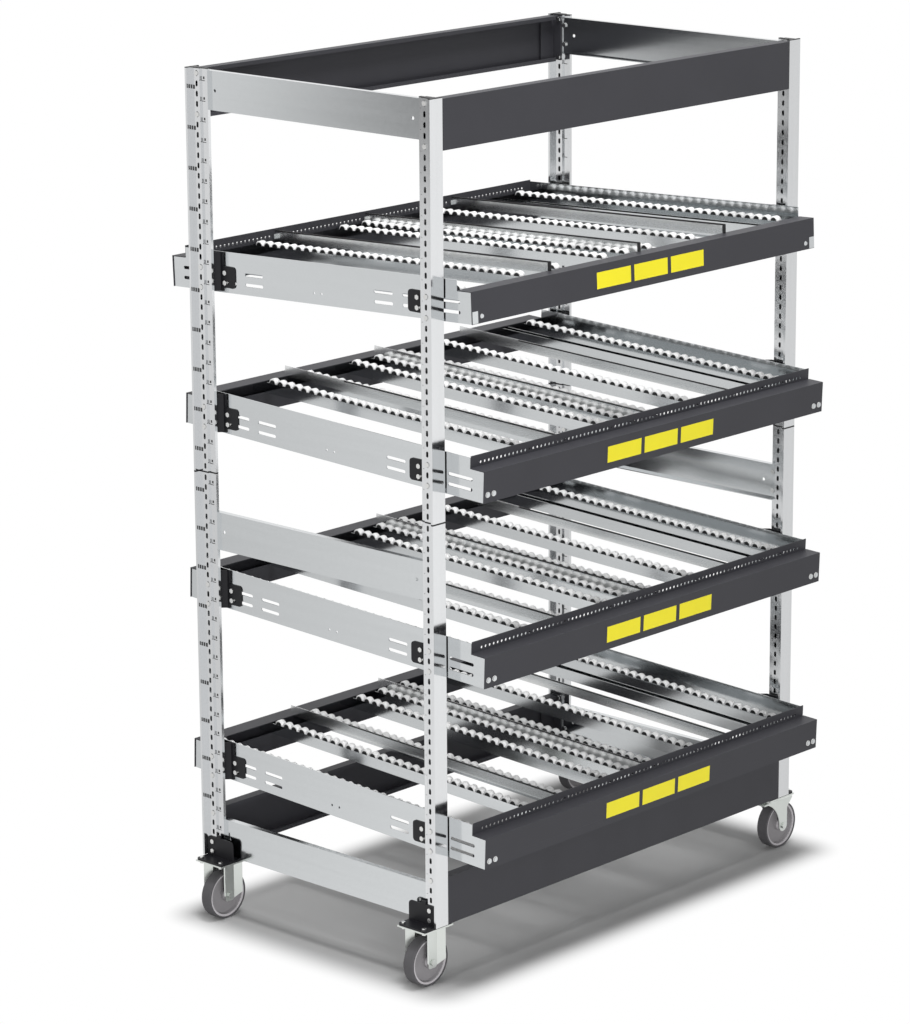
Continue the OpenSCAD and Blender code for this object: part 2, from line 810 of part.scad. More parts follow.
module fixed_caster_forks() {
    color(zinc) placed() for (sy = [-1, 1])
        translate([-caster_x, sy * caster_y, 0]) {
            difference() {
                union() {
                    caster_top_plate();
                    for (s = [-1, 1])
                        mirror([0, s > 0 ? 0 : 1, 0]) intersection() {
                            linear_extrude(plate_z + 1) bent_leg_2d();
                            along_y(0, caster_plate[1]) fixed_leg_2d();
                        }
                }
                axle_bore();
            }
            axle_bolt();
        }
}

module swivel_plates() {
    color(zinc) placed() for (sy = [-1, 1])
        translate([caster_x, sy * caster_y, 0]) {
            caster_top_plate();
            translate([0, 0, race_z]) cylinder(r = race_r, h = plate_z - race_z);
            translate([0, 0, crown_top - crown_t - slide_gap])
                cylinder(r = kingpin_r, h = plate_z - crown_top);
            translate([0, 0, crown_top - crown_t - slide_gap - kingpin_head_h])
                cylinder(r = kingpin_head_r, h = kingpin_head_h);
        }
}

module swivel_leg_2d() {
    difference() {
        polygon([
            [crown_back, crown_top], [crown_front, crown_top], [crown_front, crown_top - crown_t],
            [trail + leg_r, crown_top - crown_t - crown_flare], [trail + leg_r, axle_z], [crown_back, axle_z]
        ]);
        translate([trail - leg_r - sweep_r, axle_z]) circle(r = sweep_r);
    }
    translate([trail, axle_z]) circle(r = leg_r);
}

module swivel_fork(sy) {
    color(zinc) placed() translate([caster_x, sy * caster_y, 0]) {
        difference() {
            union() {
                for (s = [-1, 1])
                    mirror([0, s > 0 ? 0 : 1, 0]) along_y(leg_y, leg_y + leg_t) swivel_leg_2d();
                translate([crown_back, -leg_y - leg_t, crown_top - crown_t])
                    cube([crown_front - crown_back, 2 * (leg_y + leg_t), crown_t]);
                translate([0, 0, crown_top - 1]) cylinder(r = race_r, h = lower_race_t + 1);
            }
            translate([0, 0, crown_top - crown_t - 1])
                cylinder(r = kingpin_r + slide_gap, h = crown_t + lower_race_t + 2);
            translate([trail, 0, 0]) axle_bore();
        }
        translate([trail, 0, 0]) axle_bolt();
    }
}

// Places a wheel drawn about the y axis at the corner with the signs sx and sy
module at_wheel(sx, sy) {
    placed() translate([sx * caster_x + (sx > 0 ? trail : 0), sy * caster_y, axle_z])
        rotate([90, 0, 0]) children();
}

module wheel_hub(sx, sy) {
    rim_w = wheel_w / 2 - 2;
    web_t = 5;
    rim_r = hub_r - rim_t;
    color(hub_grey) at_wheel(sx, sy) rotate_extrude() polygon([
        [hub_bore_r, -boss_w], [boss_r, -boss_w], [boss_r + 2, -web_t], [rim_r - 3, -web_t], [rim_r, -rim_w],
        [hub_r, -rim_w], [hub_r, rim_w], [rim_r, rim_w], [rim_r - 3, web_t], [boss_r + 2, web_t],
        [boss_r, boss_w], [hub_bore_r, boss_w]
    ]);
}

module wheel_tyre(sx, sy) {
    edge = tread_edge;
    bore_r = hub_r + slide_gap;
    color(tread_grey) at_wheel(sx, sy) rotate_extrude() {
        translate([bore_r, -wheel_w / 2]) square([wheel_dia / 2 - bore_r - edge, wheel_w]);
        translate([bore_r, -wheel_w / 2 + edge]) square([wheel_dia / 2 - bore_r, wheel_w - 2 * edge]);
        for (s = [-1, 1])
            translate([wheel_dia / 2 - edge, s * (wheel_w / 2 - edge)]) circle(r = edge);
    }
}

post(-1, -1);  // post_front_left
post(1, -1);  // post_front_right
post(-1, 1);  // post_rear_left
post(1, 1);  // post_rear_right
post_splices();
post_caps();
frame_beam(-1, top_beam_z);  // top_front_beam
frame_beam(1, top_beam_z);  // top_rear_beam
frame_beam(-1, bottom_beam_z);  // bottom_front_beam
frame_beam(1, bottom_beam_z);  // bottom_rear_beam
side_braces();
corner_brackets();
frame_bolts();
pivot_brackets();
pivot_bolts();
fixed_caster_forks();
swivel_plates();
shelf_side_plates(0);  // shelf1_side_plates
low_beam(0);  // shelf1_low_beam
high_beam(0);  // shelf1_high_beam
shelf_rails(0);  // shelf1_rails
shelf_rollers(0);  // shelf1_rollers
shelf_dividers(0);  // shelf1_dividers
low_brackets(0);  // shelf1_low_brackets
clamp_bolts(0);  // shelf1_clamp_bolts
shelf_side_plates(1);  // shelf2_side_plates
low_beam(1);  // shelf2_low_beam
high_beam(1);  // shelf2_high_beam
shelf_rails(1);  // shelf2_rails
shelf_rollers(1);  // shelf2_rollers
shelf_dividers(1);  // shelf2_dividers
low_brackets(1);  // shelf2_low_brackets
clamp_bolts(1);  // shelf2_clamp_bolts
shelf_side_plates(2);  // shelf3_side_plates
low_beam(2);  // shelf3_low_beam
high_beam(2);  // shelf3_high_beam
shelf_rails(2);  // shelf3_rails
shelf_rollers(2);  // shelf3_rollers
shelf_dividers(2);  // shelf3_dividers
low_brackets(2);  // shelf3_low_brackets
clamp_bolts(2);  // shelf3_clamp_bolts
shelf_side_plates(3);  // shelf4_side_plates
low_beam(3);  // shelf4_low_beam
high_beam(3);  // shelf4_high_beam
shelf_rails(3);  // shelf4_rails
shelf_rollers(3);  // shelf4_rollers
shelf_dividers(3);  // shelf4_dividers
low_brackets(3);  // shelf4_low_brackets
clamp_bolts(3);  // shelf4_clamp_bolts
swivel_fork(-1);  // swivel_fork_front
swivel_fork(1);  // swivel_fork_rear
wheel_hub(-1, -1);  // wheel_hub_front_left
wheel_tyre(-1, -1);  // wheel_tyre_front_left
wheel_hub(-1, 1);  // wheel_hub_rear_left
wheel_tyre(-1, 1);  // wheel_tyre_rear_left
wheel_hub(1, -1);  // wheel_hub_front_right
wheel_tyre(1, -1);  // wheel_tyre_front_right
wheel_hub(1, 1);  // wheel_hub_rear_right
wheel_tyre(1, 1);  // wheel_tyre_rear_right
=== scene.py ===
# %% [markdown]
# A mobile rack with four tilted roller shelves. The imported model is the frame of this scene: every
# post, beam, rail and wheel is already there at its real size, on the body that it moves with. This
# script gives each surface its finish, and adds the small pieces that only the eye needs.

# %% Load the frame
import bpy
import bmesh
import json
import math
from mathutils import Matrix, Vector


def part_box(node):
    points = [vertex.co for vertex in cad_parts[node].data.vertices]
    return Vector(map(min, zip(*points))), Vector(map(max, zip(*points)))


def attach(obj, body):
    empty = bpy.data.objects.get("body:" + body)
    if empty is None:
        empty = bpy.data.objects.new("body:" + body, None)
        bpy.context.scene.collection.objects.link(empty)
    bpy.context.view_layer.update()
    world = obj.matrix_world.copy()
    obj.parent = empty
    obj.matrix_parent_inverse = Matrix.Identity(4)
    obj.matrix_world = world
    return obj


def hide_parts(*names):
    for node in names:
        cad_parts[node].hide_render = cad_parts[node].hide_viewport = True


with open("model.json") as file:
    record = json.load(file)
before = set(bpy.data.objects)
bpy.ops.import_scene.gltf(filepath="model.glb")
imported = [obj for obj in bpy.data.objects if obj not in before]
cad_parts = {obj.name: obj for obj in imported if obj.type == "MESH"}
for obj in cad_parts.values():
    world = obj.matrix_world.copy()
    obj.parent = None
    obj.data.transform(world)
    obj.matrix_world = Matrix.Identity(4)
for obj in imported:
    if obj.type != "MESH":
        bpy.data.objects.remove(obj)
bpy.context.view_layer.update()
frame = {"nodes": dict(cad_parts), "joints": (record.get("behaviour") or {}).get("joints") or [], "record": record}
nodes = frame["nodes"]

# %% [markdown]
# The rack's driving sizes, in metres. The shelves share one design, and each is drawn flat with its
# pivot bolts on the x axis. One matrix per shelf then tilts it and puts it at its height, so a
# piece that lies on a shelf can be drawn in the shelf's own flat frame. That frame has its low end
# towards the rear, as the top shelf has, so the other three shelves are mirrored.

# %% Sizes and places of the shelves
MM = 0.001
SHEET = 2 * MM
SHELF_LENGTH = 1002 * MM
SHELF_HALF_WIDTH = 636 * MM
PIVOT_Y = 323 * MM
PIVOT_ROW = 50 * MM
SLOT_STEP = 25 * MM
TILT = math.atan(SLOT_STEP / (2 * PIVOT_Y))
END_STEP = 45 * MM
TOP_SHELF = "shelf1"
TOP_SHELF_SHIFT = 10 * MM
SHELF_SHIFT = 27 * MM
SHELVES = (TOP_SHELF, "shelf2", "shelf3", "shelf4")
joints = {joint["name"]: joint for joint in frame["joints"]}


def shelf_matrix(shelf):
    """From a shelf's flat frame, low end at +y and its plate's foot at z = 0, to the rack."""
    pivot = Vector(joints[shelf + "_tilt"]["pos_m"])
    facing = 1 if shelf == TOP_SHELF else -1
    turn = Matrix.Rotation(-facing * TILT, 4, "X")
    flip = Matrix.Diagonal((1, facing, 1, 1))
    return Matrix.Translation(pivot) @ turn @ flip @ Matrix.Translation((0, 0, -PIVOT_ROW))


def high_end(shelf):
    """Where the high end lies along the shelf, with the pivot bolts at y = 0."""
    shift = TOP_SHELF_SHIFT if shelf == TOP_SHELF else SHELF_SHIFT
    return PIVOT_Y - SHELF_LENGTH / 2 + shift


def low_face(shelf):
    """Where the outer face of the low beam lies along the shelf."""
    return high_end(shelf) + SHELF_LENGTH + SHEET


for shelf in SHELVES:
    print(shelf, "high end at", round(high_end(shelf), 3), "pivot", joints[shelf + "_tilt"]["pos_m"])

# %% [markdown]
# Every finish is a node material on Object coordinates. All pieces sit at the origin, so those
# coordinates are metres in the rack's own frame: a noise scale of 1000 makes specks of about a
# millimetre. These helpers keep the material cells short. Where a helper takes a value, it can be a
# number or another node's output.

# %% Helpers for node materials


def start_material(name):
    """A new material with its shader and its coordinates."""
    material = bpy.data.materials.new(name)
    material.use_nodes = True
    tree = material.node_tree
    shader = tree.nodes["Principled BSDF"]
    coords = tree.nodes.new("ShaderNodeTexCoord")
    return material, tree, shader, coords.outputs["Object"]


def feed(tree, value, socket):
    """Gives a socket a number, or links it to another node's output."""
    if isinstance(value, bpy.types.NodeSocket):
        tree.links.new(value, socket)
    else:
        socket.default_value = value


def calculate(tree, operation, *values):
    """One step of arithmetic on numbers."""
    node = tree.nodes.new("ShaderNodeMath")
    node.operation = operation
    for value, socket in zip(values, node.inputs):
        feed(tree, value, socket)
    return node.outputs["Value"]


def calculate_vector(tree, operation, *vectors):
    """One step of arithmetic on vectors. The node has a Vector and a Value output."""
    node = tree.nodes.new("ShaderNodeVectorMath")
    node.operation = operation
    for vector, socket in zip(vectors, node.inputs):
        feed(tree, vector, socket)
    return node.outputs


def ramp(tree, value, start, stop, low, high, curve="LINEAR"):
    """Runs from low to high while the value goes from start to stop."""
    node = tree.nodes.new("ShaderNodeMapRange")
    node.interpolation_type = curve
    ends = {"Value": value, "From Min": start, "From Max": stop, "To Min": low, "To Max": high}
    for name, end in ends.items():
        feed(tree, end, node.inputs[name])
    return node.outputs["Result"]


def spread(tree, pattern, low, high):
    """Maps a 0 to 1 pattern to the range low to high."""
    return ramp(tree, pattern, 0.0, 1.0, low, high)


def noise(tree, coords, scale, detail=2.0, stretch=(1, 1, 1)):
    """Noise on the given coordinates, pulled long where stretch is under 1."""
    mapping = tree.nodes.new("ShaderNodeMapping")
    mapping.inputs["Scale"].default_value = stretch
    texture = tree.nodes.new("ShaderNodeTexNoise")
    texture.inputs["Scale"].default_value = scale
    texture.inputs["Detail"].default_value = detail
    tree.links.new(coords, mapping.inputs["Vector"])
    tree.links.new(mapping.outputs["Vector"], texture.inputs["Vector"])
    return texture.outputs["Fac"]


def tint(tree, pattern, dark, light):
    """A colour between dark and light, as the pattern says."""
    node = tree.nodes.new("ShaderNodeMix")
    node.data_type = "RGBA"
    node.inputs["A"].default_value = (*dark, 1)
    node.inputs["B"].default_value = (*light, 1)
    tree.links.new(pattern, node.inputs["Factor"])
    return node.outputs["Result"]


def bump(tree, shader, pattern, depth, strength):
    """Raises the surface by the pattern, depth in metres."""
    node = tree.nodes.new("ShaderNodeBump")
    node.inputs["Strength"].default_value = strength
    node.inputs["Distance"].default_value = depth
    tree.links.new(pattern, node.inputs["Height"])
    tree.links.new(node.outputs["Normal"], shader.inputs["Normal"])


def shade(colour, factor):
    """The colour made darker or lighter."""
    return tuple(min(1.0, channel * factor) for channel in colour)


# %% [markdown]
# Galvanised sheet is bright steel under a skin of zinc crystals. Cells of a Voronoi texture stand
# for the crystals: each is a shade lighter or darker and a little smoother or rougher than the
# next. A long noise along the rolling direction adds the faint streaks that coil steel keeps.

# %% Galvanised metals
CRYSTAL_SHARE = 0.10
STREAK_SCALE = 60
STREAK_LOW, STREAK_HIGH = 0.2, 0.7
STREAK_DEPTH = 0.2 * MM
STREAK_STRENGTH = 0.05
ZINC_DARK, ZINC_LIGHT = 0.93, 1.06
ZINC_SMOOTH, ZINC_ROUGH = 0.8, 1.25


def galvanised(name, colour, rough, grain, streak):
    """Zinc coated steel with crystals of grain metres and streaks along one axis."""
    material, tree, shader, coords = start_material(name)
    cells = tree.nodes.new("ShaderNodeTexVoronoi")
    cells.inputs["Scale"].default_value = 1 / grain
    tree.links.new(coords, cells.inputs["Vector"])
    crystal = tree.nodes.new("ShaderNodeSeparateColor")
    tree.links.new(cells.outputs["Color"], crystal.inputs["Color"])
    streaks = noise(tree, coords, STREAK_SCALE, detail=3, stretch=streak)
    pattern = calculate(
        tree, "MULTIPLY_ADD", crystal.outputs["Red"], CRYSTAL_SHARE,
        spread(tree, streaks, STREAK_LOW, STREAK_HIGH),
    )
    dark, light = shade(colour, ZINC_DARK), shade(colour, ZINC_LIGHT)
    tree.links.new(tint(tree, pattern, dark, light), shader.inputs["Base Color"])
    sheen = spread(tree, pattern, rough * ZINC_SMOOTH, rough * ZINC_ROUGH)
    tree.links.new(sheen, shader.inputs["Roughness"])
    shader.inputs["Metallic"].default_value = 1.0
    bump(tree, shader, streaks, STREAK_DEPTH, STREAK_STRENGTH)
    return material


post_zinc = galvanised(
    "post_zinc", (0.74, 0.75, 0.76), rough=0.12, grain=0.006, streak=(1, 1, 0.02)
)
sheet_zinc = galvanised(
    "sheet_zinc", (0.66, 0.68, 0.69), rough=0.12, grain=0.009, streak=(1, 0.03, 1)
)
divider_zinc = galvanised(
    "divider_zinc", (0.86, 0.87, 0.87), rough=0.20, grain=0.007, streak=(1, 0.02, 1)
)
bolt_zinc = galvanised("bolt_zinc", (0.76, 0.76, 0.75), rough=0.22, grain=0.002, streak=(1, 1, 1))
caster_zinc = galvanised(
    "caster_zinc", (0.72, 0.75, 0.72), rough=0.30, grain=0.004, streak=(1, 1, 0.2)
)
print("galvanised finishes: 5")

# %% [markdown]
# Powder coat is paint baked from dust. Its skin has a fine orange peel, so a small noise lifts the
# surface and breaks up the highlight, and a wide noise shifts the colour by about a tenth.

# %% Painted metals
PAINT_SHINE = 0.3
PAINT_DARK, PAINT_LIGHT = 0.88, 1.12
PAINT_SMOOTH, PAINT_ROUGH = 0.85, 1.15
WIDE_SCALE = 7
PEEL_DEPTH = 0.1 * MM
PEEL_STRENGTH = 0.12


def powder_coat(name, colour, rough, peel):
    """Baked paint with a fine texture of peel metres."""
    material, tree, shader, coords = start_material(name)
    grain = noise(tree, coords, 1 / peel, detail=2)
    wide = noise(tree, coords, WIDE_SCALE, detail=3)
    dark, light = shade(colour, PAINT_DARK), shade(colour, PAINT_LIGHT)
    tree.links.new(tint(tree, wide, dark, light), shader.inputs["Base Color"])
    sheen = spread(tree, grain, rough * PAINT_SMOOTH, rough * PAINT_ROUGH)
    tree.links.new(sheen, shader.inputs["Roughness"])
    shader.inputs["Specular IOR Level"].default_value = PAINT_SHINE
    bump(tree, shader, grain, PEEL_DEPTH, PEEL_STRENGTH)
    return material


charcoal_paint = powder_coat("charcoal_paint", (0.037, 0.037, 0.043), rough=0.50, peel=0.0011)
black_paint = powder_coat("black_paint", (0.009, 0.009, 0.011), rough=0.45, peel=0.0009)
print("painted finishes: 2")

# %% [markdown]
# The rollers, hubs, caps and treads are moulded. Moulded plastic is even in colour, with a soft
# mottle from cooling. The tread of a wheel is a dull elastic grey that picks up dust, so its mottle
# is stronger. The yellow film of the label holders and the grey of the posts' marks are made the
# same way.

# %% Moulded plastics and rubber
SKIN_SCALE = 1800
SKIN_DEPTH = 0.05 * MM
SKIN_STRENGTH = 0.1
MOULD_SMOOTH, MOULD_ROUGH = 0.85, 1.2


def moulded(name, colour, rough, mottle, contrast):
    """Moulded plastic or rubber with a mottle of mottle metres."""
    material, tree, shader, coords = start_material(name)
    cloud = noise(tree, coords, 1 / mottle, detail=3)
    skin = noise(tree, coords, SKIN_SCALE, detail=2)
    dark, light = shade(colour, 1 - contrast), shade(colour, 1 + contrast)
    tree.links.new(tint(tree, cloud, dark, light), shader.inputs["Base Color"])
    sheen = spread(tree, cloud, rough * MOULD_SMOOTH, rough * MOULD_ROUGH)
    tree.links.new(sheen, shader.inputs["Roughness"])
    bump(tree, shader, skin, SKIN_DEPTH, SKIN_STRENGTH)
    return material


roller_plastic = moulded(
    "roller_plastic", (0.86, 0.86, 0.86), rough=0.30, mottle=0.03, contrast=0.03
)
bearing_black = moulded(
    "bearing_black", (0.012, 0.012, 0.013), rough=0.40, mottle=0.01, contrast=0.10
)
hub_plastic = moulded("hub_plastic", (0.55, 0.53, 0.55), rough=0.42, mottle=0.02, contrast=0.05)
# The web's darker grey is painted shade for its recess, on the same plastic as the rim.
hub_web_painted_shade = moulded("hub_web_painted_shade", (0.27, 0.26, 0.27), rough=0.45, mottle=0.02, contrast=0.08)
cap_plastic = moulded("cap_plastic", (0.012, 0.012, 0.013), rough=0.45, mottle=0.02, contrast=0.10)
tread_rubber = moulded(
    "tread_rubber", (0.085, 0.083, 0.088), rough=0.62, mottle=0.012, contrast=0.15
)
stamp_grey = moulded("stamp_grey", (0.05, 0.05, 0.05), rough=0.50, mottle=0.01, contrast=0.15)
label_yellow = moulded("label_yellow", (0.86, 0.76, 0.012), rough=0.38, mottle=0.05, contrast=0.04)
print("moulded finishes: 8")

# %% [markdown]
# Each CAD node keeps its own mesh and first takes one finish, found from its record slot. Dividers
# are brighter than the other sheet parts, so they get a finish of their own.

# %% Put the finishes on the frame's nodes
FINISH = {
    "post_zinc": post_zinc, "sheet_zinc": sheet_zinc, "bolt_zinc": bolt_zinc,
    "caster_zinc": caster_zinc, "charcoal_paint": charcoal_paint, "black_paint": black_paint,
    "black_plastic": cap_plastic, "roller_plastic": roller_plastic, "hub_plastic": hub_plastic,
    "tread_rubber": tread_rubber,
}
for subpart in frame["record"]["subparts"]:
    piece = nodes[subpart["node"]]
    finish = FINISH[subpart["material_slot"]]
    if subpart["node"].endswith("_dividers"):
        finish = divider_zinc
    piece.data.materials.clear()
    piece.data.materials.append(finish)

# %% [markdown]
# A wheel's hub has a pale rim, and a web that lies deeper. Both belong to one node and are one
# plastic, so the web's faces get a second, darker finish: painted shade for the shade that falls in
# the recess. A face is on the web when its middle lies between the boss and the rim.

# %% Two finishes on the hubs
RIM_INNER = 52 * MM
BOSS_OUTER = 15 * MM
for corner in ("front_left", "front_right", "rear_left", "rear_right"):
    hub = nodes["wheel_hub_" + corner]
    axle = joints["wheel_" + corner + "_spin"]["pos_m"]
    # The second finish is painted shade on the recessed web.
    hub.data.materials.append(hub_web_painted_shade)
    web_faces = 0
    for face in hub.data.polygons:
        reach = math.hypot(face.center.x - axle[0], face.center.z - axle[2])
        if BOSS_OUTER < reach < RIM_INNER:
            face.material_index = 1
            web_faces += 1
    print(hub.name, "web faces:", web_faces)

# %% [markdown]
# New pieces are drawn in a shelf's flat frame with bmesh, then carried to their place by the
# shelf's matrix. The mesh holds the place and the object stays at the origin, as the frame's own
# nodes do.

# %% Helpers that draw shapes and make pieces


def add_piece(name, shape, place, body, slot, *finishes):
    """Makes an object of the bmesh, moved by place, and hangs it on a body."""
    bmesh.ops.transform(shape, matrix=place, verts=shape.verts)
    bmesh.ops.recalc_face_normals(shape, faces=shape.faces)
    mesh = bpy.data.meshes.new(name)
    shape.to_mesh(mesh)
    shape.free()
    for finish in finishes:
        mesh.materials.append(finish)
    piece = bpy.data.objects.new(name, mesh)
    bpy.context.scene.collection.objects.link(piece)
    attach(piece, body)
    print(piece.name, "faces:", len(piece.data.polygons))
    return piece


def add_block(shape, low, high, edge=0.0):
    """A box between two corners, its edges rounded by edge metres."""
    size = Vector(high) - Vector(low)
    place = Matrix.Translation((Vector(low) + Vector(high)) / 2) @ Matrix.Diagonal((*size, 1))
    made = bmesh.ops.create_cube(shape, size=1, matrix=place)["verts"]
    if edge:
        edges = list({e for vert in made for e in vert.link_edges})
        bmesh.ops.bevel(
            shape, geom=edges, offset=edge, segments=2, profile=0.5, affect="EDGES", material=-1
        )


def add_disc(shape, middle, facing, radius, rim, depth, segments):
    """A disc that faces along +y or -y. Its outer end's radius is rim times that of its foot."""
    turn = Matrix.Rotation(-facing * math.pi / 2, 4, "X")
    bmesh.ops.create_cone(
        shape, cap_ends=True, segments=segments, radius1=radius, radius2=rim * radius, depth=depth,
        matrix=Matrix.Translation(middle) @ turn,
    )


# %% [markdown]
# A roller is a small white wheel with a bearing sunk into each side, and the bearing on the left is
# dark. One half profile is spun round the axle in fourteen steps, which is round enough for a wheel
# that is 26 mm across. A thousand rollers must stay light, so each has only a few dozen faces. The
# tracks are not evenly spaced: each is placed from a divider or a side plate, and the middle
# divider stands at x = 0.

# %% Rollers
HOLE_PITCH = 14.15 * MM
LANE_HOLES = 23
LANE_X = LANE_HOLES * HOLE_PITCH
TRACK_X = (
    -SHELF_HALF_WIDTH + 32 * MM, -LANE_X - 72 * MM, -LANE_X + 52 * MM, -101 * MM,
    -19 * MM, 65 * MM, LANE_X - 95 * MM, SHELF_HALF_WIDTH - 66 * MM,
)
ROLLER_PITCH = 28 * MM
ROLLER_COUNT = 32
ROLLER_RADIUS = 13 * MM
ROLLER_HALF = 8.5 * MM
ROLLER_EDGE = 1 * MM
ROLLER_HEIGHT = 73 * MM
ROLLER_STEPS = 14
BEARING_RADIUS = 9.3 * MM
BEARING_DEPTH = 2 * MM
AXLE_REACH = 0.01 * MM


def roller_profile():
    """Points as (x along the axle, radius), from one bearing's middle to the other's."""
    left_side = [
        (-ROLLER_HALF + BEARING_DEPTH, 0.0), (-ROLLER_HALF, BEARING_RADIUS),
        (-ROLLER_HALF + ROLLER_EDGE, ROLLER_RADIUS),
    ]
    return left_side + [(-x, radius) for x, radius in reversed(left_side)]


def roller_mesh():
    """One roller about the x axis, its left bearing on the second material."""
    shape = bmesh.new()
    line = [shape.verts.new((x, 0, radius)) for x, radius in roller_profile()]
    edges = [shape.edges.new(pair) for pair in zip(line, line[1:])]
    bmesh.ops.spin(
        shape, geom=line + edges, axis=(1, 0, 0), cent=(0, 0, 0), angle=2 * math.pi,
        steps=ROLLER_STEPS, use_merge=True,
    )
    bmesh.ops.remove_doubles(shape, verts=shape.verts, dist=AXLE_REACH)
    bmesh.ops.recalc_face_normals(shape, faces=shape.faces)
    for face in shape.faces:
        face.smooth = True
        touches_axle = any(math.hypot(vert.co.y, vert.co.z) < AXLE_REACH for vert in face.verts)
        on_left = face.calc_center_median().x < 0
        face.material_index = 1 if touches_axle and on_left else 0
    mesh = bpy.data.meshes.new("roller")
    shape.to_mesh(mesh)
    shape.free()
    return mesh


one_roller = roller_mesh()
for shelf in SHELVES:
    rollers = bmesh.new()
    middle = high_end(shelf) + SHELF_LENGTH / 2
    for across in TRACK_X:
        for index in range(ROLLER_COUNT):
            along = middle + (index - (ROLLER_COUNT - 1) / 2) * ROLLER_PITCH
            before = len(rollers.verts)
            rollers.from_mesh(one_roller)
            rollers.verts.ensure_lookup_table()
            bmesh.ops.translate(
                rollers, verts=rollers.verts[before:], vec=(across, along, ROLLER_HEIGHT)
            )
    piece = add_piece(
        shelf + "_roller_wheels", rollers, shelf_matrix(shelf), shelf, "roller_plastic",
        roller_plastic, bearing_black,
    )
    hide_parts(shelf + "_rollers")
bpy.data.meshes.remove(one_roller)

# %% [markdown]
# A divider is a bright strip with a black plastic edge pushed over its top, so that boxes don't
# scrape on bare steel. On the top shelf the edge runs over the whole strip and ends in a black
# plug. On the other three it covers only the stretch towards the low end. Each is a thin rounded
# bar along the strip.

# %% Divider edges
DIVIDER_X = (-LANE_X, 0.0, LANE_X)
DIVIDER_START = 31 * MM
DIVIDER_TOP = 101 * MM
DIVIDER_END_GAP = 1 * MM
EDGE_HEIGHT = 4 * MM
EDGE_HALF = 1.5 * MM
EDGE_ROUND = 0.6 * MM
BARE_LENGTH = 240 * MM
PLUG_LENGTH = 8 * MM
PLUG_HALF = 2.2 * MM
PLUG_FOOT = 77.5 * MM
PLUG_LIP = 0.5 * MM
PLUG_ROUND = 0.8 * MM

for shelf in SHELVES:
    trim = bmesh.new()
    on_top_shelf = shelf == TOP_SHELF
    start = high_end(shelf) + (DIVIDER_START if on_top_shelf else BARE_LENGTH)
    stop = high_end(shelf) + SHELF_LENGTH - END_STEP - DIVIDER_END_GAP
    for x in DIVIDER_X:
        low = (x - EDGE_HALF, start, DIVIDER_TOP - EDGE_HEIGHT)
        add_block(trim, low, (x + EDGE_HALF, stop, DIVIDER_TOP), EDGE_ROUND)
        if on_top_shelf:
            low = (x - PLUG_HALF, start - PLUG_LIP, PLUG_FOOT)
            add_block(trim, low, (x + PLUG_HALF, start + PLUG_LENGTH, DIVIDER_TOP), PLUG_ROUND)
    add_piece(
        shelf + "_divider_edges", trim, shelf_matrix(shelf), shelf, "black_plastic", cap_plastic
    )

# %% [markdown]
# Each shelf carries a label holder on its front beam: a thin charcoal card with three plain yellow
# panels. On the top shelf the front beam is the one at the high end, and on the others the one at
# the low end. The panels are blank, and stand a tenth of a millimetre off the card.

# %% Label holders
CARD_HALF = 205 * MM
CARD_FOOT = 13 * MM
CARD_TOP = 63 * MM
CARD_DEPTH = 0.25 * MM
CARD_ROUND = 0.1 * MM
PANELS = ((-199 * MM, -75 * MM), (-62 * MM, 62 * MM), (75 * MM, 199 * MM))
PANEL_FOOT = 18 * MM
PANEL_TOP = 58 * MM
PANEL_DEPTH = 0.1 * MM

for shelf in SHELVES:
    on_top_shelf = shelf == TOP_SHELF
    outward = -1 if on_top_shelf else 1
    face = high_end(shelf) - SHEET if on_top_shelf else low_face(shelf)
    card_front = face + outward * CARD_DEPTH
    panel_front = card_front + outward * PANEL_DEPTH
    card = bmesh.new()
    near, far = sorted((face, card_front))
    add_block(card, (-CARD_HALF, near, CARD_FOOT), (CARD_HALF, far, CARD_TOP), CARD_ROUND)
    place = shelf_matrix(shelf)
    add_piece(shelf + "_label_card", card, place, shelf, "charcoal_paint", charcoal_paint)
    panels = bmesh.new()
    near, far = sorted((card_front, panel_front))
    for left, right in PANELS:
        add_block(panels, (left, near, PANEL_FOOT), (right, far, PANEL_TOP))
    add_piece(shelf + "_label_panels", panels, place, shelf, "charcoal_paint", label_yellow)

# %% [markdown]
# The posts are stamped beside their slots: a small angle mark at every second slot, on both sides
# of the narrow tip. The rear posts have larger ones and, on their outer side, a dot beside each and
# a pair of fields at every fourth slot. All are thin dark bars that stand a twentieth of a
# millimetre off the steel. A bar is written as its near and far end behind the post's outer face,
# then its foot and its top over the mark's level.

# %% Marks on the posts
POSTS = ("post_front_left", "post_front_right", "post_rear_left", "post_rear_right")
SECTION_TOPS = (1160 * MM, 2164 * MM)
SECTION_SLOTS = 39
SLOT_FIRST = 12 * MM
MARK_EVERY = 2
FIELD_EVERY = 4
MARK_FOOT = 225 * MM
TIP_INSET = 17.5 * MM
WEB_INSET = 12.5 * MM
MARK_DEPTH = 0.05 * MM
FRONT_ANGLE = ((41 * MM, 46.5 * MM, -0.5 * MM, 0.5 * MM), (41 * MM, 42 * MM, 0.5 * MM, 8 * MM))
REAR_ANGLE = ((39 * MM, 52 * MM, -5.5 * MM, -3.7 * MM), (39 * MM, 41 * MM, -3.7 * MM, 5.5 * MM))
DOT_MARK = (45.5 * MM, 51 * MM, -1 * MM, 5.5 * MM)
FIELD_MARKS = ((7 * MM, 13 * MM, -1.5 * MM, 8.5 * MM), (15 * MM, 22 * MM, -1.5 * MM, 8.5 * MM))


def add_mark(shape, box, side, end, inset, level, bar):
    """A dark bar on one side face of the post whose bounds are box."""
    face = box[0][0] + inset if side < 0 else box[1][0] - inset
    xs = sorted((face, face + side * MARK_DEPTH))
    ys = sorted(box[0][1] + reach if end < 0 else box[1][1] - reach for reach in bar[:2])
    add_block(shape, (xs[0], ys[0], level + bar[2]), (xs[1], ys[1], level + bar[3]))


